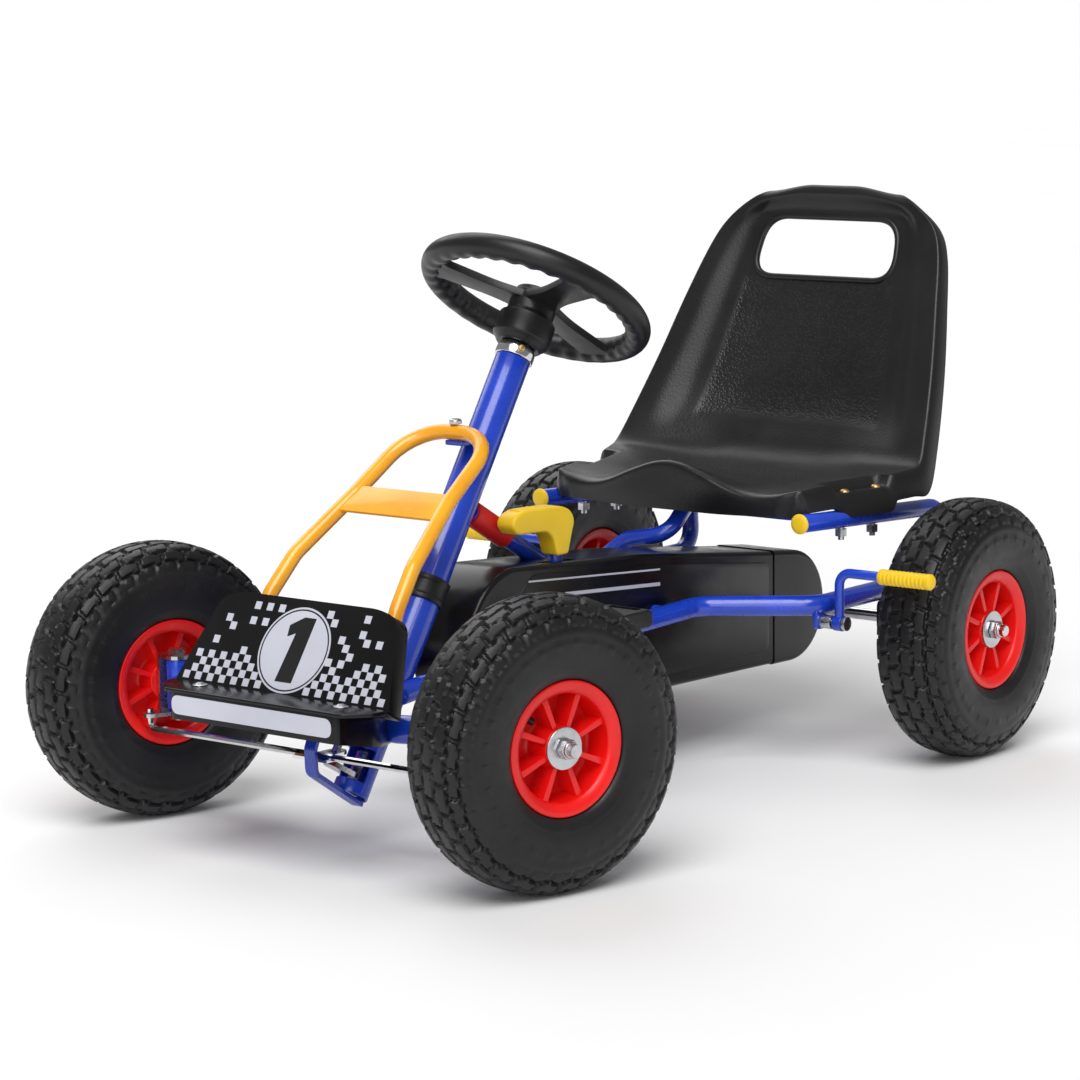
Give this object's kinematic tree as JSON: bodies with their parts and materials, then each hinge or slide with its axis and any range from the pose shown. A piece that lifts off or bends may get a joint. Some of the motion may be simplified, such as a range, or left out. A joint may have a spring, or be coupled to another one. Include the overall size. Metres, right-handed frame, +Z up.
{
  "type": "pedal go-kart",
  "caption": "Ride-on pedal go-kart: tube frame, bucket seat, steering wheel on a raked column, chain drive to the rear axle, air tyres, two hand brakes.",
  "frame": {"origin": "on the ground, at the middle of the overall length and width", "axes": "+X to the driver's left, +Y towards the rear, +Z up"},
  "size_m": [0.6236, 0.9784, 0.574],
  "materials": {
    "tyre_rubber": "matt moulded rubber",
    "red_plastic": "glossy moulded nylon",
    "red_foam": "soft plastic sleeve",
    "yellow_plastic": "moulded plastic",
    "amber_paint": "gloss powder coat",
    "black_gloss_plastic": "glossy moulded plastic",
    "black_plastic": "grained moulded plastic",
    "blue_paint": "gloss powder coat",
    "zinc_steel": "bright zinc plate"
  },
  "bodies": {
    "frame": {"column_tube": "blue_paint", "column_collar": "zinc_steel", "column_band": "black_plastic", "front_beam": "blue_paint", "pitman_guard": "blue_paint", "kingpin_left": "zinc_steel", "kingpin_right": "zinc_steel", "side_tube_left": "blue_paint", "seat_rail_left": "blue_paint", "rail_cap_left": "yellow_plastic", "axle_bearing_left": "black_plastic", "seat_bolt_front_left": "zinc_steel", "seat_bolt_rear_left": "zinc_steel", "side_tube_right": "blue_paint", "seat_rail_right": "blue_paint", "rail_cap_right": "yellow_plastic", "axle_bearing_right": "black_plastic", "seat_bolt_front_right": "zinc_steel", "seat_bolt_rear_right": "zinc_steel", "seat_post": "blue_paint", "brace_tube": "blue_paint", "brace_sleeve": "red_foam", "fairing_bar": "amber_paint", "fairing_bolt": "zinc_steel", "front_shield": "black_gloss_plastic", "chain": "zinc_steel", "guard_left": "black_gloss_plastic", "guard_right": "black_gloss_plastic", "guard_rear_cap": "black_gloss_plastic", "seat": "black_plastic"},
    "knuckle_left": {"knuckle_left": "zinc_steel", "hub_nut_front_left": "zinc_steel"},
    "knuckle_right": {"knuckle_right": "zinc_steel", "hub_nut_front_right": "zinc_steel"},
    "wheel_front_left": {"tyre_front_left": "tyre_rubber", "rim_front_left": "red_plastic"},
    "wheel_front_right": {"tyre_front_right": "tyre_rubber", "rim_front_right": "red_plastic"},
    "track_rod": {"track_rod": "zinc_steel"},
    "steering": {"steering_shaft": "zinc_steel", "steering_wheel": "black_plastic"},
    "rear_drive": {"rear_axle": "zinc_steel", "sprocket": "zinc_steel", "tyre_rear_left": "tyre_rubber", "rim_rear_left": "red_plastic", "hub_nut_rear_left": "zinc_steel", "hub_nut_rear_right": "zinc_steel"},
    "wheel_rear_right": {"tyre_rear_right": "tyre_rubber", "rim_rear_right": "red_plastic"},
    "crank": {"chainring_axle": "zinc_steel", "crank_left": "zinc_steel", "crank_right": "zinc_steel"},
    "pedal_left": {"pedal_left": "black_plastic"},
    "pedal_right": {"pedal_right": "black_plastic"},
    "shift": {"shift_lever": "blue_paint", "shift_grip": "yellow_plastic"},
    "brake_left": {"brake_lever_left": "blue_paint", "brake_grip_left": "yellow_plastic"},
    "brake_right": {"brake_lever_right": "blue_paint", "brake_grip_right": "yellow_plastic"}
  },
  "joints": [
    {"name": "steer_left", "type": "hinge", "parent": "frame", "child": "knuckle_left", "pos_m": [0.208, -0.34441, 0.133], "axis": [0, 0, 1], "range_deg": [-15.5, 44.5]},
    {"name": "steer_right", "type": "hinge", "parent": "frame", "child": "knuckle_right", "pos_m": [-0.208, -0.34441, 0.133], "axis": [0, 0, 1], "range_deg": [-15.5, 44.5]},
    {"name": "track_rod_pivot", "type": "hinge", "parent": "knuckle_right", "child": "track_rod", "pos_m": [-0.21589, -0.3749, 0.0941], "axis": [0, 0, 1], "range_deg": [-44.5, 15.5]},
    {"name": "steering_column", "type": "hinge", "parent": "frame", "child": "steering", "pos_m": [0, -0.28201, 0.1305], "axis": [0, 0.5476, 0.8368], "range_deg": [-15.5, 44.5]},
    {"name": "spin_front_left", "type": "hinge", "parent": "knuckle_left", "child": "wheel_front_left", "pos_m": [0.24673, -0.35442, 0.133], "axis": [0.9681, -0.2504, 0], "continuous": true},
    {"name": "spin_front_right", "type": "hinge", "parent": "knuckle_right", "child": "wheel_front_right", "pos_m": [-0.24673, -0.33439, 0.133], "axis": [0.9681, -0.2504, 0], "continuous": true},
    {"name": "rear_axle_spin", "type": "hinge", "parent": "frame", "child": "rear_drive", "pos_m": [0, 0.34059, 0.133], "axis": [1, 0, 0], "continuous": true},
    {"name": "spin_rear_right", "type": "hinge", "parent": "frame", "child": "wheel_rear_right", "pos_m": [-0.255, 0.34059, 0.133], "axis": [1, 0, 0], "continuous": true},
    {"name": "crank_spin", "type": "hinge", "parent": "frame", "child": "crank", "pos_m": [0, -0.1264, 0.163], "axis": [1, 0, 0], "continuous": true},
    {"name": "pedal_spin_left", "type": "hinge", "parent": "crank", "child": "pedal_left", "pos_m": [0.1, -0.05755, 0.18405], "axis": [1, 0, 0], "continuous": true},
    {"name": "pedal_spin_right", "type": "hinge", "parent": "crank", "child": "pedal_right", "pos_m": [-0.1, -0.19526, 0.14195], "axis": [1, 0, 0], "continuous": true},
    {"name": "shift_pivot", "type": "hinge", "parent": "frame", "child": "shift", "pos_m": [0.022, -0.04441, 0.152], "axis": [1, 0, 0], "range_deg": [-5, 6]},
    {"name": "brake_pivot_left", "type": "hinge", "parent": "frame", "child": "brake_left", "pos_m": [0.187, 0.20359, 0.15], "axis": [1, 0, 0], "range_deg": [-6, 35]},
    {"name": "brake_pivot_right", "type": "hinge", "parent": "frame", "child": "brake_right", "pos_m": [-0.187, 0.20359, 0.15], "axis": [1, 0, 0], "range_deg": [-6, 35]}
  ],
  "couplings": [
    {"joint": "steer_right", "follows": "steer_left", "ratio": 1},
    {"joint": "track_rod_pivot", "follows": "steer_left", "ratio": -1},
    {"joint": "steering_column", "follows": "steer_left", "ratio": 1},
    {"joint": "crank_spin", "follows": "rear_axle_spin", "ratio": 0.53333}
  ]
}
